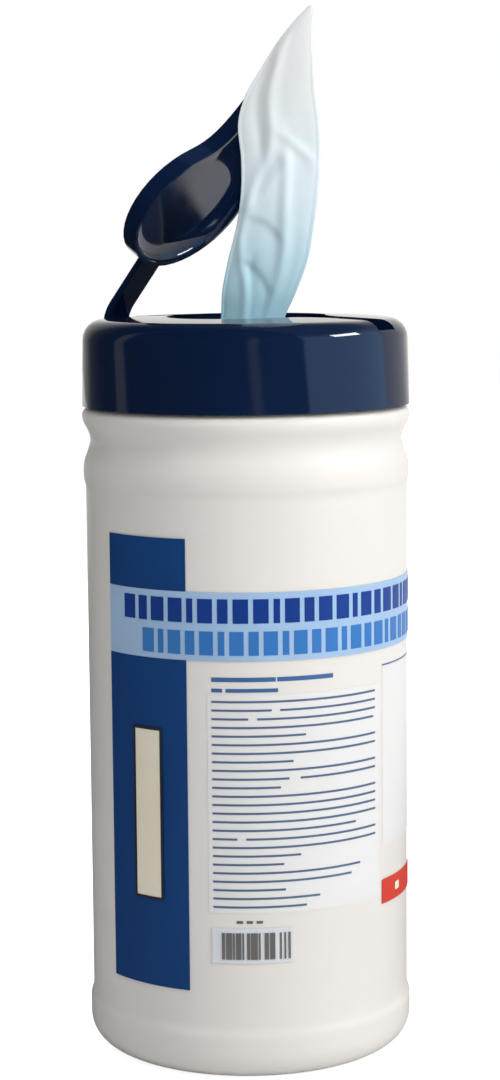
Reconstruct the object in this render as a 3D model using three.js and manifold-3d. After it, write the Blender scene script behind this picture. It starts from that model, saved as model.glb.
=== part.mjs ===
// A round canister of disinfecting wipes with its flap open and one wipe drawn up for use.
// Millimetres, +Z up. The origin is the centre of the canister's base, on the surface it stands on.
// +X runs from the flap's hinge to its thumb tab, and the hinge axis is parallel to Y.

import * as THREE from 'three';
import { mergeVertices } from 'three/addons/utils/BufferGeometryUtils.js';
import Module from 'manifold-3d';

const wasm = await Module();
wasm.setup();

const DEG = Math.PI / 180;
const RUNNING_GAP = 0.3;          // between a piece and what it rests on or slides in
const ROUND_STEPS = 56;           // facets round the canister and the lid

// Canister: one blow-moulded wall
const BODY_R = 50;                // over the base bead and the shoulder's flare
const WALL = 1.4;
const PANEL_INSET = 0.9;          // flat panel that carries the print, in from the beads
const PANEL_R = BODY_R - PANEL_INSET;
const PANEL_EASE = 0.3;           // where the panel's ends run out into the beads
const BASE_FILLET = 8.5;
const BASE_BEAD_TOP = 14;
const PANEL_RUN_IN = 3;
const PANEL_BOTTOM = BASE_BEAD_TOP + PANEL_RUN_IN;
const PANEL_HEIGHT = 156;
const PANEL_TOP = PANEL_BOTTOM + PANEL_HEIGHT;
const SHOULDER_BEAD_INSET = 0.2;
const SHOULDER_BEAD_R = BODY_R - SHOULDER_BEAD_INSET;
const SHOULDER_BEAD_LOW = PANEL_TOP + PANEL_RUN_IN;
const SHOULDER_BEAD_HEIGHT = 5.5;
const SHOULDER_BEAD_HIGH = SHOULDER_BEAD_LOW + SHOULDER_BEAD_HEIGHT;
const GROOVE_INSET = 2.4;
const GROOVE_R = BODY_R - GROOVE_INSET;
const GROOVE_BELOW = 6;           // from the bead up to the groove's deepest line
const GROOVE_ABOVE = 5.5;         // and from there up to the flare
const GROOVE_Z = SHOULDER_BEAD_HIGH + GROOVE_BELOW;
const FLARE_LOW = GROOVE_Z + GROOVE_ABOVE;
const FLARE_HEIGHT = 2.6;
const FLARE_HIGH = FLARE_LOW + FLARE_HEIGHT;
const FLARE_ROUND = 1.3;
const NECK_STEP = 2.6;            // height over which the flare turns in to the neck
const NECK_FOOT = FLARE_HIGH + NECK_STEP;
const NECK_INSET = 3.7;
const NECK_R = BODY_R - NECK_INSET;
const NECK_HEIGHT = 17.8;
const NECK_TOP = NECK_FOOT + NECK_HEIGHT;
const SNAP_BEAD_DROP = 10;        // from the neck's top down to its snap bead
const SNAP_BEAD_Z = NECK_TOP - SNAP_BEAD_DROP;
const SNAP_BEAD_HALF = 1.6;
const FOOT_INSET = 9;
const FOOT_WIDTH = 6;             // the flat ring that the canister stands on
const FOOT_RING_OUT = BODY_R - FOOT_INSET;
const FOOT_RING_IN = FOOT_RING_OUT - FOOT_WIDTH;
const PUSH_UP = 3;                // how far the base's middle is raised
const PUSH_UP_SLOPE = 4;

// Lid: a shallow cap, flush with the flare, with a leaf-shaped recess for the flap
const LID_R = BODY_R;
const LID_WALL = 1.5;
const LID_FOOT_GAP = 2.4;         // from the flare up to the skirt's edge
const LID_BOTTOM = FLARE_HIGH + LID_FOOT_GAP;
const LID_HEAD = 8;               // from the neck's top up to the lid's rim
const LID_TOP = NECK_TOP + LID_HEAD;
const LID_DRAFT = 0.5;
const LID_FILLET = 6;
const LID_CROWN = 1.2;
const LID_BEAD_GAP = 0.3;         // between the neck's snap bead and the skirt
const SEAL_RIB = 1.4;
const RECESS_DEPTH = 5.8;
const RECESS_FLOOR = LID_TOP - RECESS_DEPTH;
const RECESS_GAP = 0.8;           // all round the closed flap
const ORIFICE_R = 11;
const COLLAR_WALL = 1.6;
const COLLAR_HEIGHT = 3.2;
const COLLAR_TOP = RECESS_FLOOR + COLLAR_HEIGHT;
const NOTCH_HALF = 5.3;           // thumb notch through the rim
const NOTCH_DEPTH = 3;
const NOTCH_FLOOR = LID_TOP - NOTCH_DEPTH;

// Flap: modelled closed, then swung open about its hinge
const FLAP_OPEN = 52;
const HINGE_INSET = 3;
const HINGE_X = HINGE_INSET - LID_R;
const HINGE_RISE = 1.7;
const HINGE_Z = RECESS_FLOOR + HINGE_RISE;
const HINGE_R = 1.2;
const STRAP_HALF = 5.7;
const STRAP_THICK = 2;
const STRAP_GAP = 0.6;
const STRAP_RISE = 40;            // degrees that the strap climbs where it leaves the hinge
const STRAP_BEND_R = 13;
const DISC_X = 0.5;
const DISC_HALF_LENGTH = 21.8;
const DISC_SIDE = 22.4;           // lid's land on each side of the disc
const DISC_HALF_WIDTH = LID_R - DISC_SIDE;
const TAIL_START = 32;            // degrees round the disc where the tail leaves it
const TAIL_INSET = 9;             // from the lid's edge in to the tail's tip
const TAIL_TIP = LID_R - TAIL_INSET;
const TAIL_HALF = 2.4;
const FLAP_PROUD = 0.4;
const FLAP_TOP = LID_TOP + FLAP_PROUD;
const FLAP_FOOT_GAP = 1;          // between the closed flap's edge and the recess's floor
const FLAP_BOTTOM = RECESS_FLOOR + FLAP_FOOT_GAP;
const FLAP_SKIN = 1.5;
const FLAP_RIM = 1.2;
const FLAP_BORDER = 5.6;          // width of the dish's curved border, round its flat floor

// Roll of wipes, wound round an open core
const ROLL_GAP = 2.3;             // to the inside of the neck that it goes in through
const ROLL_R = NECK_R - WALL - ROLL_GAP;
const ROLL_CORE_R = 12;
const ROLL_BOTTOM = PUSH_UP + WALL + RUNNING_GAP;
const HEADSPACE = 23.3;           // from the roll's top up to the neck's top
const ROLL_TOP = NECK_TOP - HEADSPACE;
const ROLL_TURNS = 6;
const TURN_DEPTH = 1.2;
const TURN_BEVEL = 0.8;

// Wipe: the drawn end of the strip, gathered into a few folds
const VIEW_AZIMUTH = -60;         // the side of the canister that the print faces, degrees from +X
const WIPE_DRAWN = 92.2;          // height of its tip above the lid
const WIPE_TAIL = 43;             // length that is still inside the roll's core
const WIPE_GAP = 0.6;             // to the orifice's wall
const WIPE_FOLD_DEPTH = 1.1;
const WIPE_FOLDS = 7;             // how tightly the folds are packed across the strip
const WIPE_FOLD_TWIST = 4;        // how far they drift sideways on the way up
const WIPE_SIDES = 28;

// Print: thin fields of colour on the panel
const PRINT_GAP = 0.1;
const PRINT_THICK = 0.2;
const PRINT_STEP = 3;             // degrees
const STRIPE_FROM = -55.5;        // degrees round from the side that the print faces
const STRIPE_TO = -21.3;
const STRIPE_MARGIN_LOW = 10.4;
const STRIPE_MARGIN_HIGH = 11;
const STRIPE_BOTTOM = PANEL_BOTTOM + STRIPE_MARGIN_LOW;
const STRIPE_TOP = PANEL_TOP - STRIPE_MARGIN_HIGH;
const BAND_TO = 150;
const BAND_DROP = 15.4;           // from the stripe's top down to the band
const BAND_HEIGHT = 20.1;
const BAND_TOP = STRIPE_TOP - BAND_DROP;
const BAND_BOTTOM = BAND_TOP - BAND_HEIGHT;
const PLATE_FROM = -42.3;
const PLATE_TO = -31.6;
const PLATE_LIFT = 27.1;
const PLATE_HEIGHT = 50.5;
const PLATE_BOTTOM = STRIPE_BOTTOM + PLATE_LIFT;
const CODE_FROM = -13;
const CODE_TO = 14.7;
const CODE_LIFT = 9;
const CODE_HEIGHT = 10.6;
const CODE_BOTTOM = STRIPE_BOTTOM + CODE_LIFT;
const CODE_TOP = CODE_BOTTOM + CODE_HEIGHT;
const MARK_FROM = 54;
const MARK_TO = 86;
const MARK_LIFT = 1.5;            // above the code panel
const MARK_HEIGHT = 7.5;
const MARK_BOTTOM = CODE_TOP + MARK_LIFT;

const colours = {
  bottle: 0xf1efea,
  lid: 0x14284f,
  roll: 0xdfeaf0,
  wipe: 0xb9d8e8,
  stripe: 0x0f3c73,
  band: 0xa5c3e1,
  plate: 0xe9e2cc,
  code: 0xd8dde2,
  mark: 0xe14b3c,
};

function material(colour, roughness) {
  return new THREE.MeshStandardMaterial({ color: colour, roughness, metalness: 0 });
}

function named(name, geometry, colour, roughness) {
  const mesh = new THREE.Mesh(geometry, material(colour, roughness));
  mesh.name = name;
  return mesh;
}

// Solids from closed meshes, and back

function toSolid(geometry) {
  const bare = geometry.clone();
  bare.deleteAttribute('normal');
  bare.deleteAttribute('uv');
  const merged = mergeVertices(bare, 1e-4);
  return new wasm.Manifold(new wasm.Mesh({
    numProp: 3,
    vertProperties: new Float32Array(merged.attributes.position.array),
    triVerts: new Uint32Array(merged.index.array),
  }));
}

function toGeometry(solid) {
  const mesh = solid.getMesh();
  const geometry = new THREE.BufferGeometry();
  geometry.setAttribute('position', new THREE.BufferAttribute(new Float32Array(mesh.vertProperties), 3));
  geometry.setIndex(new THREE.BufferAttribute(new Uint32Array(mesh.triVerts), 1));
  geometry.computeVertexNormals();
  return geometry;
}

// Profiles are [radius, height] pairs that run upwards on the outside of the solid

function revolve(profile, steps = ROUND_STEPS) {
  const points = profile.map(([r, z]) => new THREE.Vector2(r, z));
  const geometry = new THREE.LatheGeometry(points, steps);
  geometry.rotateX(Math.PI / 2);
  return geometry;
}

function arc(cx, cz, radius, from, to, steps) {
  const points = [];
  for (let i = 0; i <= steps; i += 1) {
    const angle = (from + (to - from) * i / steps) * DEG;
    points.push([cx + radius * Math.cos(angle), cz + radius * Math.sin(angle)]);
  }
  return points;
}

function ring(inner, outer, bottom, top, steps = ROUND_STEPS) {
  return revolve([[inner, bottom], [outer, bottom], [outer, top], [inner, top], [inner, bottom]], steps);
}

// A flat outline of [x, y] pairs raised from one height to another

function raise(outline, bottom, top) {
  const shape = new THREE.Shape(outline.map(([x, y]) => new THREE.Vector2(x, y)));
  const geometry = new THREE.ExtrudeGeometry(shape, { depth: top - bottom, bevelEnabled: false });
  geometry.translate(0, 0, bottom);
  return geometry;
}

function block(x0, x1, half, bottom, top) {
  return raise([[x0, -half], [x1, -half], [x1, half], [x0, half]], bottom, top);
}

// Canister

function canisterSide(inset) {
  const filletR = BASE_FILLET - inset;
  const beadR = LID_R - LID_WALL - LID_DRAFT / 2 - LID_BEAD_GAP;
  const side = [
    ...arc(BODY_R - BASE_FILLET, BASE_FILLET, filletR, -80, 0, 5),
    [BODY_R - inset, BASE_BEAD_TOP],
    [PANEL_R + PANEL_EASE - inset, PANEL_BOTTOM - PANEL_RUN_IN / 3],
    [PANEL_R - inset, PANEL_BOTTOM],
    [PANEL_R - inset, PANEL_TOP],
    [PANEL_R + PANEL_EASE - inset, PANEL_TOP + PANEL_RUN_IN / 3],
    [SHOULDER_BEAD_R - inset, SHOULDER_BEAD_LOW],
    [SHOULDER_BEAD_R - inset, SHOULDER_BEAD_HIGH],
  ];
  const grooveHalf = FLARE_LOW - GROOVE_Z;
  const steps = 6;
  for (let i = 1; i <= steps; i += 1) {
    const t = i / steps;
    const z = SHOULDER_BEAD_HIGH + (FLARE_LOW - SHOULDER_BEAD_HIGH) * t;
    const away = Math.min(1, Math.abs(z - GROOVE_Z) / grooveHalf);
    const edge = z < GROOVE_Z ? SHOULDER_BEAD_R : BODY_R;
    const eased = 0.5 - 0.5 * Math.cos(Math.PI * away);
    side.push([GROOVE_R + (edge - GROOVE_R) * eased - inset, z]);
  }
  side.push([BODY_R - inset, FLARE_HIGH]);
  side.push([BODY_R - FLARE_ROUND - inset, FLARE_HIGH + FLARE_ROUND]);
  side.push([NECK_R - inset, NECK_FOOT]);
  if (inset === 0) {
    side.push([NECK_R, SNAP_BEAD_Z - SNAP_BEAD_HALF]);
    side.push([beadR, SNAP_BEAD_Z]);
    side.push([NECK_R, SNAP_BEAD_Z + SNAP_BEAD_HALF]);
  }
  side.push([NECK_R - inset, NECK_TOP]);
  return side;
}

function canister() {
  const outside = [
    [0, PUSH_UP],
    [FOOT_RING_IN - PUSH_UP_SLOPE, PUSH_UP],
    [FOOT_RING_IN, 0],
    [FOOT_RING_OUT, 0],
    ...canisterSide(0),
  ];
  const inside = [
    ...canisterSide(WALL).reverse(),
    [FOOT_RING_OUT, WALL],
    [FOOT_RING_IN, WALL],
    [FOOT_RING_IN - PUSH_UP_SLOPE, PUSH_UP + WALL],
    [0, PUSH_UP + WALL],
  ];
  return revolve([...outside, ...inside]);
}

// Flap outline, closed, seen from above: an ellipse with a tail towards the thumb tab

function flapOutline(grow) {
  const a = DISC_HALF_LENGTH + grow;
  const b = DISC_HALF_WIDTH + grow;
  const half = [];
  const discSteps = 18;
  for (let i = 0; i <= discSteps; i += 1) {
    const t = (180 - (180 - TAIL_START) * i / discSteps) * DEG;
    half.push([DISC_X + a * Math.cos(t), b * Math.sin(t)]);
  }
  const t = TAIL_START * DEG;
  const leave = new THREE.Vector2(DISC_X + a * Math.cos(t), b * Math.sin(t));
  const along = new THREE.Vector2(a * Math.sin(t), -b * Math.cos(t)).normalize();
  const tipR = TAIL_HALF + grow;
  const tip = new THREE.Vector2(TAIL_TIP - TAIL_HALF, tipR);
  const curve = new THREE.CubicBezierCurve(
    leave,
    leave.clone().addScaledVector(along, (b - tipR) * 0.35),
    tip.clone().add(new THREE.Vector2(-(tip.x - leave.x) * 0.55, (b - tipR) * 0.08)),
    tip,
  );
  const tailSteps = 8;
  for (const point of curve.getPoints(tailSteps).slice(1)) half.push([point.x, point.y]);
  half.push(...arc(tip.x, 0, tipR, 60, 0, 2));
  const mirrored = half.slice(1, -1).reverse().map(([x, y]) => [x, -y]);
  return [...half, ...mirrored].reverse();
}

// Lid

function lidOutside() {
  const top = arc(LID_R - LID_DRAFT - LID_FILLET, LID_TOP - LID_FILLET, LID_FILLET, 0, 90, 6);
  return revolve([[0, LID_BOTTOM], [LID_R, LID_BOTTOM], ...top, ...crown(LID_TOP)]);
}

function crown(rimZ) {
  const edge = LID_R - LID_DRAFT - LID_FILLET;
  const steps = 4;
  const points = [];
  for (let i = 1; i <= steps; i += 1) {
    const r = edge * (1 - i / steps);
    points.push([r, rimZ + LID_CROWN * (1 - (r / edge) ** 2)]);
  }
  return points;
}

function lidInside() {
  const fillet = LID_FILLET - LID_WALL;
  const top = arc(LID_R - LID_DRAFT - LID_FILLET, LID_TOP - LID_FILLET, fillet, 0, 90, 4);
  const start = [[0, LID_BOTTOM - 1], [LID_R - LID_WALL, LID_BOTTOM - 1]];
  return revolve([...start, ...top, ...crown(LID_TOP - LID_WALL)]);
}

function recess(grow, drop) {
  const above = LID_TOP + LID_CROWN + 1;
  const disc = toSolid(raise(flapOutline(RECESS_GAP + grow), RECESS_FLOOR - drop, above));
  const strapFloor = HINGE_Z - HINGE_R - RUNNING_GAP - drop;
  const strapHalf = STRAP_HALF + STRAP_GAP + grow;
  const channel = toSolid(block(-LID_R - 1, DISC_X, strapHalf, strapFloor, above));
  const notch = toSolid(block(DISC_X, LID_R + 1, NOTCH_HALF + grow, NOTCH_FLOOR - drop, above));
  return disc.add(channel).add(notch);
}

function lid() {
  const hollow = toSolid(lidInside()).subtract(recess(LID_WALL, LID_WALL));
  const sealTop = LID_TOP - LID_WALL / 2;
  const sealMid = (NECK_R + NECK_R - WALL) / 2;
  const seal = ring(sealMid - SEAL_RIB / 2, sealMid + SEAL_RIB / 2, NECK_TOP + RUNNING_GAP, sealTop);
  const collar = ring(ORIFICE_R, ORIFICE_R + COLLAR_WALL, RECESS_FLOOR - LID_WALL, COLLAR_TOP);
  const hole = ring(0, ORIFICE_R, RECESS_FLOOR - LID_WALL - 1, COLLAR_TOP + 1);
  const solid = toSolid(lidOutside())
    .subtract(hollow)
    .add(toSolid(seal))
    .subtract(recess(0, 0))
    .add(toSolid(collar))
    .subtract(toSolid(hole));
  return toGeometry(solid);
}

// The strap climbs from the hinge in a short bend and runs level into the disc

function strap() {
  const bendX = HINGE_X + STRAP_BEND_R * Math.sin(STRAP_RISE * DEG);
  const bendZ = HINGE_Z - STRAP_BEND_R * Math.cos(STRAP_RISE * DEG);
  const discEdge = DISC_X - DISC_HALF_LENGTH + FLAP_RIM;
  const half = STRAP_THICK / 2;
  const over = arc(bendX, bendZ, STRAP_BEND_R + half, 90 + STRAP_RISE, 90, 6);
  const below = arc(bendX, bendZ, STRAP_BEND_R - half, 90, 90 + STRAP_RISE, 6);
  const level = bendZ + STRAP_BEND_R;
  const side = [...over, [discEdge, level + half], [discEdge, level - half], ...below];
  const geometry = raise(side.reverse(), -STRAP_HALF, STRAP_HALF);
  geometry.rotateX(Math.PI / 2);
  return geometry;
}

// The flap's hollow underside: a wide curved border that runs in to a flat oval floor

function dish() {
  const edge = flapOutline(-FLAP_RIM);
  const inset = FLAP_RIM + FLAP_BORDER;
  const under = FLAP_TOP - FLAP_SKIN;
  const floor = edge.map(([x, y]) => {
    const angle = Math.atan2(y / DISC_HALF_WIDTH, (x - DISC_X) / DISC_HALF_LENGTH);
    const length = DISC_HALF_LENGTH - inset;
    const width = DISC_HALF_WIDTH - inset;
    return [DISC_X + length * Math.cos(angle), width * Math.sin(angle)];
  });
  const sections = [edge.map(([x, y]) => [x, y, FLAP_BOTTOM - 1])];
  const steps = 6;
  for (let i = 0; i <= steps; i += 1) {
    const angle = 90 * DEG * i / steps;
    const inward = 1 - Math.cos(angle);
    const z = FLAP_BOTTOM + (under - FLAP_BOTTOM) * Math.sin(angle);
    sections.push(edge.map(([x, y], k) => {
      return [x + (floor[k][0] - x) * inward, y + (floor[k][1] - y) * inward, z];
    }));
  }
  return loft(sections);
}

// Flap, in its own frame with the hinge axis at the origin

function flap() {
  const leaf = toSolid(raise(flapOutline(0), FLAP_BOTTOM, FLAP_TOP));
  const barrel = new THREE.CylinderGeometry(HINGE_R, HINGE_R, STRAP_HALF * 2, 16);
  barrel.translate(HINGE_X, 0, HINGE_Z);
  const solid = leaf.subtract(toSolid(dish())).add(toSolid(strap())).add(toSolid(barrel));
  const geometry = toGeometry(solid);
  geometry.translate(-HINGE_X, 0, -HINGE_Z);
  return geometry;
}

// Roll of wipes

function roll() {
  const pitch = (ROLL_R - ROLL_CORE_R) / ROLL_TURNS;
  const profile = [
    [ROLL_CORE_R, ROLL_BOTTOM],
    [FOOT_RING_IN - PUSH_UP_SLOPE, ROLL_BOTTOM],
    [ROLL_R - TURN_BEVEL, ROLL_BOTTOM],
    [ROLL_R, ROLL_BOTTOM + TURN_BEVEL],
    [ROLL_R, ROLL_TOP - TURN_DEPTH],
  ];
  for (let i = 0; i < ROLL_TURNS; i += 1) {
    const outer = ROLL_R - pitch * i;
    profile.push([outer - TURN_BEVEL, ROLL_TOP]);
    profile.push([outer - pitch + TURN_BEVEL, ROLL_TOP]);
    profile.push([outer - pitch, ROLL_TOP - TURN_DEPTH]);
  }
  profile.push([ROLL_CORE_R, ROLL_BOTTOM]);
  return revolve(profile, 48);
}

// Wipe: sections up the strip, each [height, centre, half width, half thickness, lean]
// The centre is measured to the right of the canister's axis and the lean towards the print's side

function wipeSections() {
  const coreHalf = ROLL_CORE_R - RUNNING_GAP;
  const throatHalf = ORIFICE_R - WIPE_GAP;
  const throatTop = COLLAR_TOP + WIPE_GAP;
  const inside = [
    [ROLL_TOP - WIPE_TAIL, 0, coreHalf, 6, 0],
    [ROLL_TOP, 0, coreHalf, 6, 0],
    [RECESS_FLOOR - LID_WALL - WIPE_GAP, 0.2, throatHalf - 0.2, 4.6, 0],
    [throatTop, 1, throatHalf - 1, 4, 0.2],
  ];
  const drawn = [
    [0.01, 2.7, 9.9, 3.8, 0.9],
    [0.09, 4.6, 11.2, 3.4, 2.6],
    [0.19, 7.2, 11.9, 3, 4.4],
    [0.3, 9.4, 11.6, 2.6, 6.2],
    [0.42, 10.8, 11.5, 2.4, 8],
    [0.52, 11, 11.7, 2.2, 9.6],
    [0.63, 10.5, 12, 2, 11],
    [0.71, 11, 10.3, 1.8, 12],
    [0.8, 13.1, 7.6, 1.6, 12.8],
    [0.88, 15.3, 4.9, 1.3, 13.2],
    [0.95, 17.9, 2.6, 1, 13.4],
    [1, 20.2, 0.8, 0.7, 13.5],
  ];
  for (const [share, ...rest] of drawn) inside.push([LID_TOP + share * WIPE_DRAWN, ...rest]);
  return inside;
}

function wipeSection([z, centre, halfWidth, halfThick, lean]) {
  const across = new THREE.Vector2(1, 0).rotateAround(new THREE.Vector2(), (VIEW_AZIMUTH + 90) * DEG);
  const toward = new THREE.Vector2(1, 0).rotateAround(new THREE.Vector2(), VIEW_AZIMUTH * DEG);
  const height = (z - LID_TOP) / WIPE_DRAWN;
  const depth = Math.min(WIPE_FOLD_DEPTH, halfThick * 0.45);
  const points = [];
  for (let i = 0; i < WIPE_SIDES; i += 1) {
    const t = -2 * Math.PI * i / WIPE_SIDES;
    const u = Math.cos(t);
    const side = Math.sin(t);
    const folds = Math.cos(u * WIPE_FOLDS + height * WIPE_FOLD_TWIST) * depth * Math.sqrt(Math.max(0, 1 - u * u));
    const v = side * halfThick + folds;
    const point = across.clone().multiplyScalar(centre + u * halfWidth).addScaledVector(toward, lean + v);
    points.push([point.x, point.y, z]);
  }
  return points;
}

function loft(sections) {
  const count = sections[0].length;
  const positions = sections.flat(2);
  const index = [];
  for (let s = 0; s < sections.length - 1; s += 1) {
    for (let i = 0; i < count; i += 1) {
      const a = s * count + i;
      const b = s * count + (i + 1) % count;
      index.push(a, b, b + count);
      index.push(a, b + count, a + count);
    }
  }
  for (const [s, flip] of [[0, true], [sections.length - 1, false]]) {
    const middle = positions.length / 3;
    for (let axis = 0; axis < 3; axis += 1) {
      positions.push(sections[s].reduce((sum, point) => sum + point[axis], 0) / count);
    }
    for (let i = 0; i < count; i += 1) {
      const a = s * count + i;
      const b = s * count + (i + 1) % count;
      index.push(middle, flip ? b : a, flip ? a : b);
    }
  }
  const geometry = new THREE.BufferGeometry();
  geometry.setAttribute('position', new THREE.Float32BufferAttribute(positions, 3));
  geometry.setIndex(index);
  geometry.computeVertexNormals();
  return geometry;
}

// Print: a curved plate that lies on the panel

function printField(from, to, bottom, top, layer = 0) {
  const inner = PANEL_R + PRINT_GAP + layer * (PRINT_GAP + PRINT_THICK);
  const outer = inner + PRINT_THICK;
  const steps = Math.ceil((to - from) / PRINT_STEP);
  const start = VIEW_AZIMUTH + from;
  const end = VIEW_AZIMUTH + to;
  return raise([...arc(0, 0, outer, start, end, steps), ...arc(0, 0, inner, end, start, steps)], bottom, top);
}

const pack = new THREE.Group();

pack.add(named('bottle', canister(), colours.bottle, 0.35));
pack.add(named('wipe_roll', roll(), colours.roll, 0.9));
pack.add(named('lid', lid(), colours.lid, 0.18));
pack.add(named('wipe', loft(wipeSections().map(wipeSection)), colours.wipe, 0.9));

const flapHinge = new THREE.Group();
flapHinge.position.set(HINGE_X, 0, HINGE_Z);
flapHinge.rotation.y = -FLAP_OPEN * DEG;
flapHinge.add(named('flap', flap(), colours.lid, 0.18));
pack.add(flapHinge);

const stripeLow = printField(STRIPE_FROM, STRIPE_TO, STRIPE_BOTTOM, BAND_BOTTOM - PRINT_GAP);
const stripeHigh = printField(STRIPE_FROM, STRIPE_TO, BAND_TOP + PRINT_GAP, STRIPE_TOP);
const band = printField(STRIPE_FROM, BAND_TO, BAND_BOTTOM, BAND_TOP);
const plate = printField(PLATE_FROM, PLATE_TO, PLATE_BOTTOM, PLATE_BOTTOM + PLATE_HEIGHT, 1);
const code = printField(CODE_FROM, CODE_TO, CODE_BOTTOM, CODE_TOP);
const mark = printField(MARK_FROM, MARK_TO, MARK_BOTTOM, MARK_BOTTOM + MARK_HEIGHT);
pack.add(named('print_stripe_lower', stripeLow, colours.stripe, 0.4));
pack.add(named('print_stripe_upper', stripeHigh, colours.stripe, 0.4));
pack.add(named('print_band', band, colours.band, 0.4));
pack.add(named('print_blank_plate', plate, colours.plate, 0.4));
pack.add(named('print_code_panel', code, colours.code, 0.4));
pack.add(named('print_red_mark', mark, colours.mark, 0.4));

export default pack;
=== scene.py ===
# A canister of disinfecting wipes: white blow-moulded bottle, glossy navy lid with its flap open,
# and one pale blue wipe drawn up through the lid.

import math

import bpy
from mathutils import Matrix, Vector, noise


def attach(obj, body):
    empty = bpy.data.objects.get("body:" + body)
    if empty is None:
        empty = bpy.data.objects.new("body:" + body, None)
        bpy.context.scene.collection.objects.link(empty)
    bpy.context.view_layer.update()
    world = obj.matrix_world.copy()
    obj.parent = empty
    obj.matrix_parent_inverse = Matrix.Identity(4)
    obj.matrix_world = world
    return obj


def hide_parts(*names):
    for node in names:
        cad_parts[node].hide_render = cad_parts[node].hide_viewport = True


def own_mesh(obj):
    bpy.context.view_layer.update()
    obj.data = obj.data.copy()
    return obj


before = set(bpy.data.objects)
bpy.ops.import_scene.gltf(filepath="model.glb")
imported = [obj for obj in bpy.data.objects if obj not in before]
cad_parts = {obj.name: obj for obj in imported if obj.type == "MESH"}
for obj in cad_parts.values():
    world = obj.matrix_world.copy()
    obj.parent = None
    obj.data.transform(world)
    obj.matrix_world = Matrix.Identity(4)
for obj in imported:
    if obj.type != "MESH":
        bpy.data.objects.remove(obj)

MM = 0.001
DEG = math.pi / 180
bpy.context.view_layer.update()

# The side of the canister that the print faces, as an azimuth from +X
VIEW = -60 * DEG
TOWARD = Vector((math.cos(VIEW), math.sin(VIEW), 0))
RIGHT = Vector((-math.sin(VIEW), math.cos(VIEW), 0))
UP = Vector((0, 0, 1))


# Camera

def make_camera():
    distance = 763 * MM
    height = 250.5 * MM
    sideways = 0.98 * MM
    pitch = 7.07 * DEG
    roll = 0.0085
    focal_px = 2497
    frame_px = 1080
    sensor = 36
    data = bpy.data.cameras.new("camera")
    data.sensor_width = sensor
    data.lens = focal_px / frame_px * sensor
    camera = bpy.data.objects.new("camera", data)
    bpy.context.scene.collection.objects.link(camera)
    forward = -TOWARD * math.cos(pitch) - UP * math.sin(pitch)
    top = UP * math.cos(pitch) - TOWARD * math.sin(pitch)
    turn = Matrix((RIGHT, top, -forward)).transposed() @ Matrix.Rotation(-roll, 3, "Z")
    place = TOWARD * distance + RIGHT * sideways + UP * height
    camera.matrix_world = Matrix.Translation(place) @ turn.to_4x4()
    bpy.context.scene.camera = camera


make_camera()


# Shader nodes. Each function adds nodes and gives back the output socket that the next one takes.

def new_material(name):
    material = bpy.data.materials.new(name)
    material.use_nodes = True
    nodes = material.node_tree.nodes
    links = material.node_tree.links
    return material, nodes, links, nodes["Principled BSDF"]


def feed(links, value, socket):
    """Links an output to a socket, or sets the socket where the value is a constant."""
    if isinstance(value, bpy.types.NodeSocket):
        links.new(value, socket)
    else:
        socket.default_value = value


def noise_node(nodes, links, scale, detail, stretch=(1, 1, 1)):
    coord = nodes.new("ShaderNodeTexCoord")
    mapping = nodes.new("ShaderNodeMapping")
    mapping.inputs["Scale"].default_value = stretch
    texture = nodes.new("ShaderNodeTexNoise")
    texture.inputs["Scale"].default_value = scale
    texture.inputs["Detail"].default_value = detail
    links.new(coord.outputs["Object"], mapping.inputs["Vector"])
    links.new(mapping.outputs["Vector"], texture.inputs["Vector"])
    return texture.outputs["Fac"]


def ramp_node(nodes, links, source, stops):
    """Colours along a value, from a list of (place, colour)."""
    ramp = nodes.new("ShaderNodeValToRGB")
    elements = ramp.color_ramp.elements
    elements[0].position, elements[1].position = stops[0][0], stops[-1][0]
    elements[0].color, elements[1].color = (*stops[0][1], 1), (*stops[-1][1], 1)
    for place, colour in stops[1:-1]:
        elements.new(place).color = (*colour, 1)
    links.new(source, ramp.inputs["Fac"])
    return ramp.outputs["Color"]


def range_node(nodes, links, source, low, high, to_low=0, to_high=1):
    """Maps low to high onto another range, and stops at its ends."""
    span = nodes.new("ShaderNodeMapRange")
    span.inputs["From Min"].default_value = low
    span.inputs["From Max"].default_value = high
    span.inputs["To Min"].default_value = to_low
    span.inputs["To Max"].default_value = to_high
    links.new(source, span.inputs["Value"])
    return span.outputs["Result"]


def along_node(nodes, links, source, axis):
    """How far a vector reaches along an axis."""
    along = nodes.new("ShaderNodeVectorMath")
    along.operation = "DOT_PRODUCT"
    along.inputs[1].default_value = axis
    links.new(source, along.inputs[0])
    return along.outputs["Value"]


def math_node(nodes, links, operation, first, second):
    node = nodes.new("ShaderNodeMath")
    node.operation = operation
    feed(links, first, node.inputs[0])
    feed(links, second, node.inputs[1])
    return node.outputs["Value"]


def mix_node(nodes, links, share, first, second, blend="MIX"):
    mix = nodes.new("ShaderNodeMix")
    mix.data_type = "RGBA"
    mix.blend_type = blend
    feed(links, share, mix.inputs["Factor"])
    feed(links, first, mix.inputs["A"])
    feed(links, second, mix.inputs["B"])
    return mix.outputs["Result"]


def blend_shaders(nodes, links, share, first, second):
    """Mixes two shaders into the material's surface."""
    mix = nodes.new("ShaderNodeMixShader")
    feed(links, share, mix.inputs["Fac"])
    links.new(first, mix.inputs[1])
    links.new(second, mix.inputs[2])
    links.new(mix.outputs["Shader"], nodes["Material Output"].inputs["Surface"])


def bump_node(nodes, links, height, strength, depth, below=None):
    bump = nodes.new("ShaderNodeBump")
    bump.inputs["Strength"].default_value = strength
    bump.inputs["Distance"].default_value = depth
    links.new(height, bump.inputs["Height"])
    if below is not None:
        links.new(below, bump.inputs["Normal"])
    return bump.outputs["Normal"]


# Materials. Colours are linear red, green and blue: the usual tone, then the darker one that it varies to.

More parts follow.
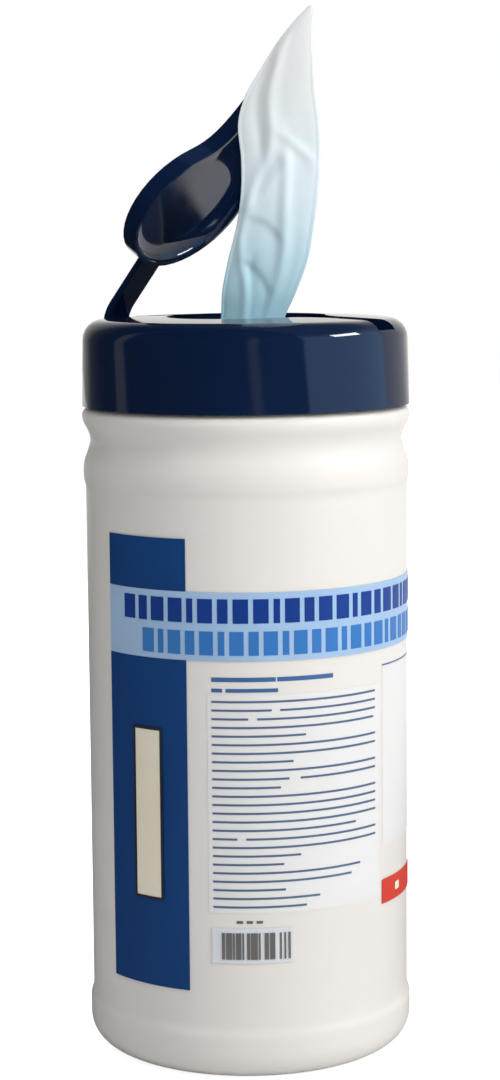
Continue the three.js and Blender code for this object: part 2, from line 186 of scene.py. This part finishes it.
def plastic(name, colour, shade, roughness, specular, orange_peel, subsurface=0.0):
    """Moulded plastic: faint cloudiness in its colour, slightly uneven gloss and a fine orange peel."""
    unevenness = 0.05
    material, nodes, links, shader = new_material(name)
    cloud = noise_node(nodes, links, scale=28, detail=3)
    tone = ramp_node(nodes, links, cloud, [(0.3, shade), (0.7, colour)])
    links.new(tone, shader.inputs["Base Color"])
    smear = noise_node(nodes, links, scale=60, detail=5, stretch=(1, 1, 0.35))
    keen = (roughness - unevenness,) * 3
    dull = (roughness + unevenness,) * 3
    gloss = ramp_node(nodes, links, smear, [(0.3, keen), (0.75, dull)])
    links.new(gloss, shader.inputs["Roughness"])
    peel = noise_node(nodes, links, scale=420, detail=2)
    bump = bump_node(nodes, links, peel, strength=orange_peel, depth=0.2 * MM)
    links.new(bump, shader.inputs["Normal"])
    shader.inputs["Specular IOR Level"].default_value = specular
    shader.inputs["Subsurface Weight"].default_value = subsurface
    shader.inputs["Subsurface Radius"].default_value = (1.0, 0.9, 0.75)
    shader.inputs["Subsurface Scale"].default_value = 1.5 * MM
    return material


def ink(name, colour, shade):
    """Printed ink: a slight unevenness in its cover, and a fine grain."""
    material, nodes, links, shader = new_material(name)
    cover = noise_node(nodes, links, scale=45, detail=6, stretch=(1, 1, 0.6))
    tone = ramp_node(nodes, links, cover, [(0.25, shade), (0.7, colour)])
    links.new(tone, shader.inputs["Base Color"])
    shader.inputs["Roughness"].default_value = 0.4
    shader.inputs["Specular IOR Level"].default_value = 0.35
    grain = noise_node(nodes, links, scale=900, detail=2)
    bump = bump_node(nodes, links, grain, strength=0.04, depth=0.05 * MM)
    links.new(bump, shader.inputs["Normal"])
    return material


def nonwoven(name, low_z, high_z, low, middle, high):
    """Wet nonwoven cloth: blue where it is gathered and wet, paler towards its drying end, with a
    tangle of fibres in its colour and surface. Some light comes through it."""
    see_through = 0.18
    material, nodes, links, shader = new_material(name)
    coord = nodes.new("ShaderNodeTexCoord")
    rise = along_node(nodes, links, coord.outputs["Object"], UP)
    height = range_node(nodes, links, rise, low_z, high_z)
    tone = ramp_node(nodes, links, height, [(0.05, low), (0.42, middle), (0.8, high)])
    fibres = noise_node(nodes, links, scale=240, detail=8, stretch=(1, 1, 0.25))
    fleck = ramp_node(nodes, links, fibres, [(0.35, (0.95, 0.96, 0.97)), (0.65, (1, 1, 1))])
    colour = mix_node(nodes, links, 1, tone, fleck, "MULTIPLY")
    links.new(colour, shader.inputs["Base Color"])
    shader.inputs["Roughness"].default_value = 0.7
    shader.inputs["Specular IOR Level"].default_value = 0.2
    shader.inputs["Sheen Weight"].default_value = 0.5
    shader.inputs["Sheen Roughness"].default_value = 0.5
    through = nodes.new("ShaderNodeBsdfTranslucent")
    links.new(colour, through.inputs["Color"])
    blend_shaders(nodes, links, see_through, shader.outputs["BSDF"], through.outputs["BSDF"])
    tangle = bump_node(nodes, links, fibres, strength=0.16, depth=0.12 * MM)
    cross = noise_node(nodes, links, scale=700, detail=3, stretch=(0.3, 0.3, 1))
    bump = bump_node(nodes, links, cross, strength=0.1, depth=0.08 * MM, below=tangle)
    links.new(bump, shader.inputs["Normal"])
    return material


white_plastic = plastic("white_plastic", (0.76, 0.735, 0.705), (0.735, 0.71, 0.68), 0.34, 0.45, 0.03, 0.12)
navy_plastic = plastic("navy_plastic", (0.0035, 0.012, 0.043), (0.003, 0.0105, 0.037), 0.07, 0.5, 0.01)
stripe_ink = ink("stripe_ink", (0.001, 0.052, 0.215), (0.001, 0.043, 0.185))
band_ink = ink("band_ink", (0.37, 0.53, 0.74), (0.31, 0.47, 0.70))
deep_ink = ink("deep_ink", (0.002, 0.042, 0.27), (0.002, 0.034, 0.23))
mid_ink = ink("mid_ink", (0.035, 0.19, 0.52), (0.028, 0.16, 0.47))
cream_ink = ink("cream_ink", (0.86, 0.80, 0.66), (0.80, 0.74, 0.60))
line_ink = ink("line_ink", (0.10, 0.155, 0.27), (0.08, 0.125, 0.22))
head_ink = ink("head_ink", (0.05, 0.15, 0.36), (0.04, 0.12, 0.30))
tint_ink = ink("tint_ink", (0.755, 0.75, 0.75), (0.735, 0.735, 0.74))
pale_ink = ink("pale_ink", (0.68, 0.71, 0.75), (0.64, 0.67, 0.71))
black_ink = ink("black_ink", (0.035, 0.033, 0.035), (0.025, 0.024, 0.025))
bar_ink = ink("bar_ink", (0.17, 0.165, 0.16), (0.11, 0.105, 0.10))
red_ink = ink("red_ink", (0.68, 0.06, 0.035), (0.62, 0.05, 0.028))
wipe_cloth = nonwoven(
    "wipe_cloth", 222 * MM, 316 * MM, (0.53, 0.86, 0.99), (0.83, 0.94, 0.985), (0.80, 0.82, 0.82)
)
roll_cloth = nonwoven("roll_cloth", 0, 200 * MM, (0.62, 0.78, 0.87), (0.62, 0.78, 0.87), (0.66, 0.80, 0.88))


# Mesh helpers

def link(name, vertices, faces, material):
    mesh = bpy.data.meshes.new(name)
    mesh.from_pydata(vertices, [], faces)
    mesh.validate()
    mesh.materials.append(material)
    mesh.polygons.foreach_set("use_smooth", [True] * len(mesh.polygons))
    piece = bpy.data.objects.new(name, mesh)
    bpy.context.scene.collection.objects.link(piece)
    return piece


def paint(node, material):
    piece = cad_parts[node]
    for place in piece.material_slots:
        place.material = material
    return piece


def smooth_by_angle(angle):
    """Node group that shades a mesh smooth but keeps edges sharper than the angle."""
    group = bpy.data.node_groups.new("smooth_by_angle", "GeometryNodeTree")
    group.interface.new_socket("Geometry", in_out="INPUT", socket_type="NodeSocketGeometry")
    group.interface.new_socket("Geometry", in_out="OUTPUT", socket_type="NodeSocketGeometry")
    nodes = group.nodes
    links = group.links
    start = nodes.new("NodeGroupInput")
    end = nodes.new("NodeGroupOutput")
    faces = nodes.new("GeometryNodeSetShadeSmooth")
    faces.domain = "FACE"
    edges = nodes.new("GeometryNodeSetShadeSmooth")
    edges.domain = "EDGE"
    edges.inputs["Shade Smooth"].default_value = False
    bend = nodes.new("GeometryNodeInputMeshEdgeAngle")
    sharp = nodes.new("FunctionNodeCompare")
    sharp.operation = "GREATER_THAN"
    sharp.inputs["B"].default_value = angle
    links.new(start.outputs["Geometry"], faces.inputs["Geometry"])
    links.new(faces.outputs["Geometry"], edges.inputs["Geometry"])
    links.new(bend.outputs["Unsigned Angle"], sharp.inputs["A"])
    links.new(sharp.outputs["Result"], edges.inputs["Selection"])
    links.new(edges.outputs["Geometry"], end.inputs["Geometry"])
    return group


SMOOTH = smooth_by_angle(32 * DEG)


def soften(piece, width=0.0):
    """Joins a CAD node's triangles, rounds its sharp edges and shades the rest smooth."""
    weld = piece.modifiers.new("weld", "WELD")
    weld.merge_threshold = 0.002 * MM
    if width:
        bevel = piece.modifiers.new("soft_edges", "BEVEL")
        bevel.width = width
        bevel.segments = 3
        bevel.limit_method = "ANGLE"
        bevel.angle_limit = 38 * DEG
    smooth = piece.modifiers.new("smooth", "NODES")
    smooth.node_group = SMOOTH
    normals = piece.modifiers.new("normals", "WEIGHTED_NORMAL")
    normals.keep_sharp = True


def apply_modifiers(piece):
    graph = bpy.context.evaluated_depsgraph_get()
    mesh = bpy.data.meshes.new_from_object(piece.evaluated_get(graph))
    piece.modifiers.clear()
    piece.data = mesh


def between(table, x):
    """Value at x on a smooth curve through a table of (x, value) rows."""
    last = len(table) - 1
    if x <= table[0][0]:
        return table[0][1]
    if x >= table[last][0]:
        return table[last][1]
    i = next(k for k in range(last) if x <= table[k + 1][0])

    def slope(k):
        (xa, va), (xb, vb) = table[max(0, k - 1)], table[min(last, k + 1)]
        return (vb - va) / (xb - xa)

    (x0, v0), (x1, v1) = table[i], table[i + 1]
    step = x1 - x0
    t = (x - x0) / step
    lead = (2 * t ** 3 - 3 * t ** 2 + 1) * v0 + (3 * t ** 2 - 2 * t ** 3) * v1
    return lead + step * ((t ** 3 - 2 * t ** 2 + t) * slope(i) + (t ** 3 - t ** 2) * slope(i + 1))


def fade_in(x, start, length):
    """0 up to start, then rising evenly to 1 over the length."""
    return min(1, max(0, (x - start) / length))


def revolve(name, profile, material):
    """A closed shell from a profile of (radius, height) that begins and ends on the axis."""
    steps = 192
    vertices = []
    rings = []
    for r, z in profile:
        if r == 0:
            rings.append([len(vertices)] * steps)
            vertices.append((0, 0, z))
            continue
        rings.append([len(vertices) + i for i in range(steps)])
        for i in range(steps):
            angle = 2 * math.pi * i / steps
            vertices.append((r * math.cos(angle), r * math.sin(angle), z))
    faces = []
    for low, high in zip(rings, rings[1:]):
        for i in range(steps):
            j = (i + 1) % steps
            corners = [low[i], low[j], high[j], high[i]]
            faces.append([c for k, c in enumerate(corners) if c not in corners[:k]])
    return link(name, vertices, faces, material)


# Bottle: rows of (radius, height) in millimetres

BODY_R = 50
FOOT_ROUND = 8.5
WALL = 1.4
BASE_RISE = 3
PANEL_R = 49.1
BASE = [(0, BASE_RISE), (20, BASE_RISE), (30.6, 2.9), (32.2, 2.3), (34.2, 0.5), (35, 0.02), (41, 0)]
BASE_INSIDE = [(41, WALL), (35, WALL), (31, BASE_RISE + WALL), (0, BASE_RISE + WALL)]
BASE_BEAD = [(BODY_R, 12.8), (49.97, 13.8), (49.8, 14.6), (49.45, 15.4), (49.25, 16.2), (49.13, 17.2),
             (PANEL_R, 18.6)]
SHOULDER_BEAD = [(PANEL_R, 171.5), (49.13, 173.2), (49.3, 174.4), (49.6, 175.3), (49.77, 176.6),
                 (49.8, 178.4), (49.7, 180.2), (49.3, 182.0)]
GROOVE = [(48.5, 184.0), (47.85, 186.0), (47.6, 187.6), (47.85, 189.4), (48.6, 191.2)]
FLARE = [(49.4, 192.6), (49.85, 193.8), (BODY_R, 194.8), (49.9, 195.8), (49.4, 196.7), (48.5, 197.3),
         (47.2, 197.8), (46.5, 198.3), (46.3, 199.2)]
SNAP_BEAD = [(46.3, 203.8), (46.5, 204.3), (47.6, 205.3), (47.92, 206), (47.6, 206.7), (46.5, 207.7),
             (46.3, 208.2)]
MOUTH = [(46.3, 215.2), (46.1, 215.8), (45.6, 216)]
NECK_INSIDE = [(46.3, 208), (46.3, 215.4), (46.4, 215.9)]


def foot(inset):
    """The round from the base to the side, seen from outside or a wall's thickness in."""
    reach = FOOT_ROUND - inset
    arc = []
    for turn in range(10, 91, 8):
        out = BODY_R - FOOT_ROUND + reach * math.sin(turn * DEG)
        arc.append((out, FOOT_ROUND - reach * math.cos(turn * DEG)))
    return arc


def make_bottle():
    side = BASE_BEAD + SHOULDER_BEAD + GROOVE + FLARE
    outside = foot(0) + side + SNAP_BEAD + MOUTH
    inside = foot(WALL) + [(r - WALL, z) for r, z in side + NECK_INSIDE]
    profile = BASE + outside + inside[::-1] + BASE_INSIDE
    shell = revolve("bottle_shell", [(r * MM, z * MM) for r, z in profile], white_plastic)
    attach(shell, "canister")
    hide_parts("bottle")


# Print: plates of ink on the panel, each (from, to, bottom, top), in degrees round from the side that the
# print faces and in millimetres up

INK_LIFT = 0.03
INK_THICKNESS = 0.07
TINT = (-14, 52.5, 51.5, 116.5)
SIDE_PANEL = (54.5, 92, 66.5, 121)
SIDE_RULE = (54.5, 92, 121.3, 121.7)
MARK_DOT = (63, 66.5, 51.2, 53.6)
CODE_BAR_BOTTOM = 37.6
CODE_BAR_TOP = 45.6
TEXT_LEFT = -12.5
TEXT_TOP = 114.2
TEXT_BOTTOM = 53
TEXT_RULE = 0.62
TEXT_REACH = [50, 50, 50, 49, 20, 50, 50, 15.5, 50, 50, 11, 50, 50, 50, 50, 40, 50, 50, 18, 12, 42, 38,
              12.5, 25, 20]
TEXT_BREAKS = {1: (8, 11), 2: (0, 3), 9: (14, 18), 16: (-4, -1)}
HEADING = [(TEXT_LEFT, 9.5, 120.4, 121.7), (10, 30.5, 120.4, 121.7), (TEXT_LEFT, -8.8, 117.3, 118.4),
           (-7.6, 10.3, 117.3, 118.4)]
CODE_BARS = [(-9.6, -8.6), (-8.2, -6.2), (-5.9, -5.2), (-4.8, -3), (-2.6, -2), (-1, 0), (0.3, 2.6), (3, 3.6),
             (5, 6.4), (6.8, 8.6), (10.3, 10.9), (11.8, 12.4), (13.2, 14)]

# Layers over the panel, each a lift and a thickness above the last. The CAD's print fields lie between them.
ON_PANEL = 0
ON_TINT = 1
ON_BAND = 3
ON_CODE_PANEL = 4
ON_MARK = 4
ON_PLATE = 6


def plate_mesh(vertices, faces, plate, inner, outer):
    """Adds one closed plate, bent round the panel."""
    start, end, bottom, top = plate
    step = 2.0
    count = max(1, math.ceil((end - start) / step))
    first = len(vertices)
    for i in range(count + 1):
        angle = VIEW + (start + (end - start) * i / count) * DEG
        for radius in (inner, outer):
            for z in (bottom, top):
                vertices.append((radius * math.cos(angle), radius * math.sin(angle), z * MM))
    for i in range(count):
        a = first + 4 * i
        b = a + 4
        faces.append((a + 2, b + 2, b + 3, a + 3))
        faces.append((b, a, a + 1, b + 1))
        faces.append((a, b, b + 2, a + 2))
        faces.append((a + 1, a + 3, b + 3, b + 1))
    last = first + 4 * count
    faces.append((first, first + 2, first + 3, first + 1))
    faces.append((last, last + 1, last + 3, last + 2))


def ink_plates(name, plates, layer, material):
    """One piece of plates that lie in the same layer over the panel."""
    inner = (PANEL_R + INK_LIFT + layer * (INK_LIFT + INK_THICKNESS)) * MM
    outer = inner + INK_THICKNESS * MM
    vertices = []
    faces = []
    for plate in plates:
        plate_mesh(vertices, faces, plate, inner, outer)
    piece = link(name, vertices, faces, material)
    piece.data.set_sharp_from_angle(angle=40 * DEG)
    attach(piece, "canister")


def text_lines():
    """A column of plain rules of varied length, where small print stands."""
    pitch = (TEXT_TOP - TEXT_BOTTOM) / (len(TEXT_REACH) - 1)
    lines = []
    for i, end in enumerate(TEXT_REACH):
        z = TEXT_TOP - i * pitch
        if i in TEXT_BREAKS:
            gap_from, gap_to = TEXT_BREAKS[i]
            lines.append((TEXT_LEFT, gap_from, z, z + TEXT_RULE))
            lines.append((gap_to, end, z, z + TEXT_RULE))
        else:
            lines.append((TEXT_LEFT, end, z, z + TEXT_RULE))
    return lines


def blocks(start, end, bottom, top, widths, gap):
    """Plain blocks in a row, where a word stood."""
    row = []
    place = start
    while place + widths[len(row) % len(widths)] <= end:
        width = widths[len(row) % len(widths)]
        row.append((place, place + width, bottom, top))
        place += width + gap
    return row


def border(start, end, bottom, top, side, rim):
    """Four strips along the edges of a rectangle."""
    left, right = start + side, end - side
    return [(start, left, bottom, top), (right, end, bottom, top), (left, right, bottom, bottom + rim),
            (left, right, top - rim, top)]


def make_print():
    for node, material in (
        ("print_stripe_lower", stripe_ink),
        ("print_stripe_upper", stripe_ink),
        ("print_band", band_ink),
        ("print_blank_plate", cream_ink),
        ("print_code_panel", pale_ink),
        ("print_red_mark", red_ink),
    ):
        soften(paint(node, material))
    upper_row = blocks(-47, 130, 137.6, 144.7, widths=[5.2, 3.6, 5.2, 5.2, 2.2], gap=1.7)
    lower_row = blocks(-38.5, 120, 128.2, 135.2, widths=[4.8, 2.2, 4.8, 3.4], gap=1.7)
    code_bars = [(start, end, CODE_BAR_BOTTOM, CODE_BAR_TOP) for start, end in CODE_BARS]
    code_dashes = blocks(-4.5, 7.7, 48.4, 49.2, widths=[2.2], gap=1.2)
    plate_edge = border(-43.1, -30.8, 53.8, 105.7, side=0.9, rim=0.8)
    ink_plates("print_tint", [TINT], ON_PANEL, tint_ink)
    ink_plates("print_lines", text_lines(), ON_TINT, line_ink)
    ink_plates("print_heading", HEADING, ON_PANEL, head_ink)
    ink_plates("print_band_row_upper", upper_row, ON_BAND, deep_ink)
    ink_plates("print_band_row_lower", lower_row, ON_BAND, mid_ink)
    ink_plates("print_code_bars", code_bars, ON_CODE_PANEL, bar_ink)
    ink_plates("print_side_panel", [SIDE_PANEL], ON_PANEL, tint_ink)
    ink_plates("print_side_rule", [SIDE_RULE], ON_PANEL, head_ink)
    ink_plates("print_plate_edge", plate_edge, ON_PLATE, black_ink)
    ink_plates("print_mark_dot", [MARK_DOT], ON_MARK, cream_ink)
    ink_plates("print_small_number", code_dashes, ON_PANEL, bar_ink)


# Wipe: rows of (height, value) in millimetres. The centre is to the right and the lean is towards the
# print's side.

WIPE_FOOT = 151.5
WIPE_TIP = 316.2
WIPE_ROWS = 190
WIPE_THICKNESS = 0.25
CENTRE = [(150, 0), (214, 0.3), (224, 2.4), (232, 4.4), (242, 7.2), (252, 9.4), (262, 10.7), (272, 11),
          (282, 10.5), (290, 11), (298, 13.1), (306, 15.5), (312, 18.1), (WIPE_TIP, 20.3)]
HALF_WIDTH = [(150, 11), (195, 11), (214, 9.9), (224, 9.7), (232, 11.2), (242, 12), (252, 11.6), (262, 11.5),
              (272, 11.7), (282, 12), (290, 10.3), (298, 7.6), (306, 4.8), (312, 2.4), (WIPE_TIP, 0.35)]
HALF_THICKNESS = [(150, 5.6), (195, 5.6), (214, 4.2), (224, 3.7), (242, 3), (262, 2.4), (282, 2), (298, 1.6),
                  (306, 1.2), (WIPE_TIP, 0.4)]
LEAN = [(214, 0), (224, 0.9), (232, 2.6), (242, 4.4), (252, 6.2), (262, 8), (272, 9.6), (282, 11),
        (298, 12.8), (WIPE_TIP, 13.5)]

# How the layers lie: the turn is a share of a half turn, the levels and the crumple are shares of the half
# thickness, and the back's reach and the inner layers' bow are shares of the front's. Folds are full where
# the half thickness is at least the full fold thickness, and they calm down towards the edges.
LAYERS = 5
LAYER_SAMPLES = 44
LAYER_TURN = 0.94
FRONT_LAYERS = 2
FRONT_LEVEL = 0.78
LEVEL_DROP = 1.5
BACK_REACH = 0.9
INNER_BOW = 0.8
BACK_FOLD_LOSS = 0.62
FULL_FOLD_THICKNESS = 2.2
EDGE_CALM = 0.7
CRUMPLE = 0.1
CRUMPLE_ACROSS = 2.1
CRUMPLE_UP = 0.03
CRUMPLE_APART = 3.7

# Folds of the front layer. Ridges and valleys: a path of (height, place across from 0 at the left edge to 1
# at the right), then the fold's depth and width. Overhangs: a path of (place across, height), then the depth
# and how far down it runs out.
FOLD_STRENGTH = 0.8
RIDGES = [
    ([(255, 0.06), (261.6, 0.14), (268, 0.24), (276.4, 0.385), (282, 0.405), (296.8, 0.3), (305, 0.18)],
     1.5, 1.7),
    ([(223, 0.735), (236, 0.72), (246, 0.66), (249, 0.636), (262, 0.58), (271, 0.58)], 1.3, 1.6),
    ([(257, 0.13), (264, 0.36), (271, 0.56)], 0.9, 2.2),
    ([(271, 0.92), (279, 0.52)], 0.8, 2.0),
    ([(220, 0.4), (232, 0.33), (241, 0.17), (249, 0.07)], 1.2, 1.2),
]
VALLEYS = [
    ([(219, 0.46), (232, 0.38), (240, 0.3)], 0.9, 1.0),
    ([(224, 0.85), (236, 0.82), (246, 0.8)], 0.5, 1.6),
    ([(262, 0.2), (272, 0.28), (284, 0.22), (296, 0.12)], 0.8, 1.7),
]
OVERHANGS = [
    ([(0.15, 253.9), (0.37, 252.7), (0.62, 247.5)], 0.9, 14),
    ([(0.19, 241.5), (0.42, 238), (0.64, 232.2)], 1.0, 14),
]


def crease(path, depth, width, t, z, half):
    """How far one ridge stands out at a place across and a height."""
    run_out = 5
    low, high = path[0][0], path[-1][0]
    fade = fade_in(z, low - run_out, run_out) * fade_in(-z, -high - run_out, run_out)
    away = (t - between(path, z)) * 2 * half / width
    return depth * fade * math.exp(-away * away)


def overhang(path, depth, length, t, z):
    """How far the cloth under one overhanging fold lies back."""
    past, ease = 0.05, 0.07
    lip = 0.5
    left, right = path[0][0], path[-1][0]
    inside = fade_in(t, left - past, ease) * fade_in(-t, -right - past, ease)
    below = min(length, between(path, t) - z)
    return depth * inside * fade_in(below, -lip, 2 * lip) * (1 - max(0, below) / length) ** 2


def fold_depth(t, z, half):
    depth = sum(crease(*fold, t, z, half) for fold in RIDGES)
    depth -= sum(crease(*fold, t, z, half) for fold in VALLEYS)
    depth -= sum(overhang(*fold, t, z) for fold in OVERHANGS)
    return depth * FOLD_STRENGTH


def wipe_path(z):
    """The gathered sheet's line at one height, as (across, toward) pairs in millimetres: it goes to and
    fro in layers, the front one first."""
    half = between(HALF_WIDTH, z)
    thick = between(HALF_THICKNESS, z)
    line = []
    for layer in range(LAYERS):
        share = layer / (LAYERS - 1)
        way = 1 if layer % 2 == 0 else -1
        level = thick * (FRONT_LEVEL - LEVEL_DROP * share)
        reach = half * (1 if layer < FRONT_LAYERS else BACK_REACH)
        outermost = layer in (0, LAYERS - 1)
        for i in range(LAYER_SAMPLES):
            turn = math.pi * (0.5 + (i / (LAYER_SAMPLES - 1) - 0.5) * LAYER_TURN)
            across = way * math.cos(turn)
            round_off = math.sqrt(max(0.0, 1 - across * across))
            folds = fold_depth((across + 1) / 2, z, half) * round_off ** EDGE_CALM
            folds *= (1 - BACK_FOLD_LOSS * share) * min(1, thick / FULL_FOLD_THICKNESS)
            spot = Vector((across * CRUMPLE_ACROSS + layer * CRUMPLE_APART, z * CRUMPLE_UP, layer))
            crumple = noise.noise(spot) * CRUMPLE * thick
            bow = level * (round_off if outermost else INNER_BOW)
            toward = between(LEAN, z) + bow + folds + crumple * round_off
            line.append((between(CENTRE, z) + across * reach, toward))
    return line


def make_wipe():
    vertices = []
    for k in range(WIPE_ROWS + 1):
        z = WIPE_FOOT + (WIPE_TIP - WIPE_FOOT) * k / WIPE_ROWS
        vertices += [tuple((RIGHT * x + TOWARD * y + UP * z) * MM) for x, y in wipe_path(z)]
    count = LAYERS * LAYER_SAMPLES
    faces = []
    for k in range(WIPE_ROWS):
        for i in range(count - 1):
            a = k * count + i
            faces.append((a, a + 1, a + 1 + count, a + count))
    wipe = link("wipe_sheet", vertices, faces, wipe_cloth)
    relax = wipe.modifiers.new("relax", "SMOOTH")
    relax.factor = 0.5
    relax.iterations = 3
    skin = wipe.modifiers.new("thickness", "SOLIDIFY")
    skin.thickness = WIPE_THICKNESS * MM
    skin.offset = 0
    apply_modifiers(wipe)
    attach(wipe, "lid")
    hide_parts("wipe")
    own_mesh(wipe)


# Lid, flap and roll

def make_caps():
    soften(paint("lid", navy_plastic), 0.3 * MM)
    soften(paint("flap", navy_plastic), 0.35 * MM)
    soften(paint("wipe_roll", roll_cloth), 0.2 * MM)


# Stage and light

def make_stage():
    """White floor that keeps the object's shadow. Glossy surfaces see it dark in front and white behind."""
    size = 3.0
    glow = 0.8
    white_from = 0.44
    edge = 0.003
    material, nodes, links, shader = new_material("studio_floor")
    shader.inputs["Base Color"].default_value = (0.9, 0.9, 0.9, 1)
    shader.inputs["Roughness"].default_value = 0.7
    shader.inputs["Specular IOR Level"].default_value = 0.1
    shader.inputs["Emission Color"].default_value = (1, 1, 1, 1)
    ray = nodes.new("ShaderNodeLightPath")
    strength = math_node(nodes, links, "MULTIPLY", ray.outputs["Is Camera Ray"], glow)
    links.new(strength, shader.inputs["Emission Strength"])
    place = nodes.new("ShaderNodeTexCoord")
    back = along_node(nodes, links, place.outputs["Object"], (RIGHT - TOWARD) * 0.7)
    seen = nodes.new("ShaderNodeEmission")
    mirrored = range_node(nodes, links, back, white_from - edge, white_from + edge, 0.015, 0.9)
    links.new(mirrored, seen.inputs["Strength"])
    in_gloss = ray.outputs["Is Glossy Ray"]
    blend_shaders(nodes, links, in_gloss, shader.outputs["BSDF"], seen.outputs["Emission"])
    corners = [(-size, -size, 0), (size, -size, 0), (size, size, 0), (-size, size, 0)]
    floor = link("floor", corners, [(0, 1, 2, 3)], material)
    floor.location.z = -0.1 * MM


# What glossy surfaces see round the horizon: (degrees to the right of the print's side, brightness). It is a
# dim room with narrow lit gaps, a window on the right, and a white backdrop.
SURROUND = [(-180, 0.95), (-168, 0.6), (-150, 0.35), (-138, 0.1), (-120, 0.03), (-104, 0.03), (-101, 0.35),
            (-94, 0.35), (-91, 0.03), (2, 0.02), (5, 0.3), (9, 0.3), (12, 0.03), (42, 0.05), (44, 0.85),
            (112, 0.9), (116, 0.6), (145, 0.6), (160, 0.8), (180, 0.95)]
WINDOW_FROM, WINDOW_TO = 40, 114
WINDOW_TINT = (0.65, 0.95, 1.35)
ROOM_TINT = (1, 0.97, 0.93)


def surround_colour(nodes, links, way):
    """The room's colour in a direction, darker towards its ceiling."""
    ceiling_from, ceiling_full = 0.45, 0.7
    ceiling_shade = 0.85
    right = along_node(nodes, links, way, RIGHT)
    toward = along_node(nodes, links, way, TOWARD)
    turn = math_node(nodes, links, "ARCTAN2", right, toward)
    stops = []
    for angle, value in SURROUND:
        tint = WINDOW_TINT if WINDOW_FROM < angle < WINDOW_TO else ROOM_TINT
        stops.append(((angle + 180) / 360, tuple(value * part for part in tint)))
    around = ramp_node(nodes, links, range_node(nodes, links, turn, -math.pi, math.pi), stops)
    rise = along_node(nodes, links, way, UP)
    shade = range_node(nodes, links, rise, ceiling_from, ceiling_full, 0, ceiling_shade)
    return mix_node(nodes, links, shade, around, (0, 0, 0, 1))


def make_world():
    """White for the camera, an even grey light on the object, and a room in its gloss."""
    even_light = (0.27, 0.27, 0.27, 1)
    world = bpy.data.worlds.new("studio")
    world.use_nodes = True
    nodes = world.node_tree.nodes
    links = world.node_tree.links
    coord = nodes.new("ShaderNodeTexCoord")
    room = surround_colour(nodes, links, coord.outputs["Generated"])
    ray = nodes.new("ShaderNodeLightPath")
    light = mix_node(nodes, links, ray.outputs["Is Glossy Ray"], even_light, room)
    colour = mix_node(nodes, links, ray.outputs["Is Camera Ray"], light, (1, 1, 1, 1))
    links.new(colour, nodes["Background"].inputs["Color"])
    nodes["Background"].inputs["Strength"].default_value = 1
    bpy.context.scene.world = world


def area_light(name, place, target, size, power, colour=(1, 1, 1), mirrored=False):
    """Lamp that lights surfaces, or that only shows mirrored in them."""
    data = bpy.data.lights.new(name, "AREA")
    data.shape = "RECTANGLE"
    data.size, data.size_y = size
    data.energy = power
    data.color = colour
    lamp = bpy.data.objects.new(name, data)
    bpy.context.scene.collection.objects.link(lamp)
    lamp.location = place
    lamp.rotation_euler = (Vector(target) - Vector(place)).to_track_quat("-Z", "Y").to_euler()
    lamp.visible_glossy = mirrored
    lamp.visible_diffuse = not mirrored


def make_lights():
    middle = UP * 0.16
    top = UP * 0.26
    wipe_foot = UP * 0.25
    lid_edge = RIGHT * 0.031 + TOWARD * 0.04 + UP * 0.222
    key = RIGHT * 0.75 + TOWARD * 0.45 + UP * 0.35
    behind = -TOWARD * 0.8 + RIGHT * 0.25 + UP * 0.5
    streak = lid_edge + TOWARD * 0.07 + RIGHT * 0.68 + UP * 0.42
    near = TOWARD * 0.30 + RIGHT * 0.06 + UP * 0.36
    fill = -RIGHT * 0.7 + TOWARD * 0.9 + UP * 0.5
    overhead = TOWARD * 0.4 + RIGHT * 0.25 + UP * 1.0
    area_light("key", key, middle, size=(0.4, 0.7), power=4.3, colour=(1, 0.985, 0.965))
    area_light("behind", behind, top, size=(0.8, 0.6), power=6.0)
    area_light("streak", streak, lid_edge, size=(0.34, 0.12), power=2.6, mirrored=True)
    area_light("near", near, wipe_foot, size=(0.16, 0.16), power=0.13, colour=(0.92, 0.98, 1.0))
    area_light("fill", fill, middle, size=(0.5, 0.5), power=1.2)
    area_light("overhead", overhead, top, size=(0.6, 0.6), power=4.0)


make_stage()
make_world()
make_lights()
make_bottle()
make_print()
make_wipe()
make_caps()

bpy.context.scene.view_settings.view_transform = "Standard"
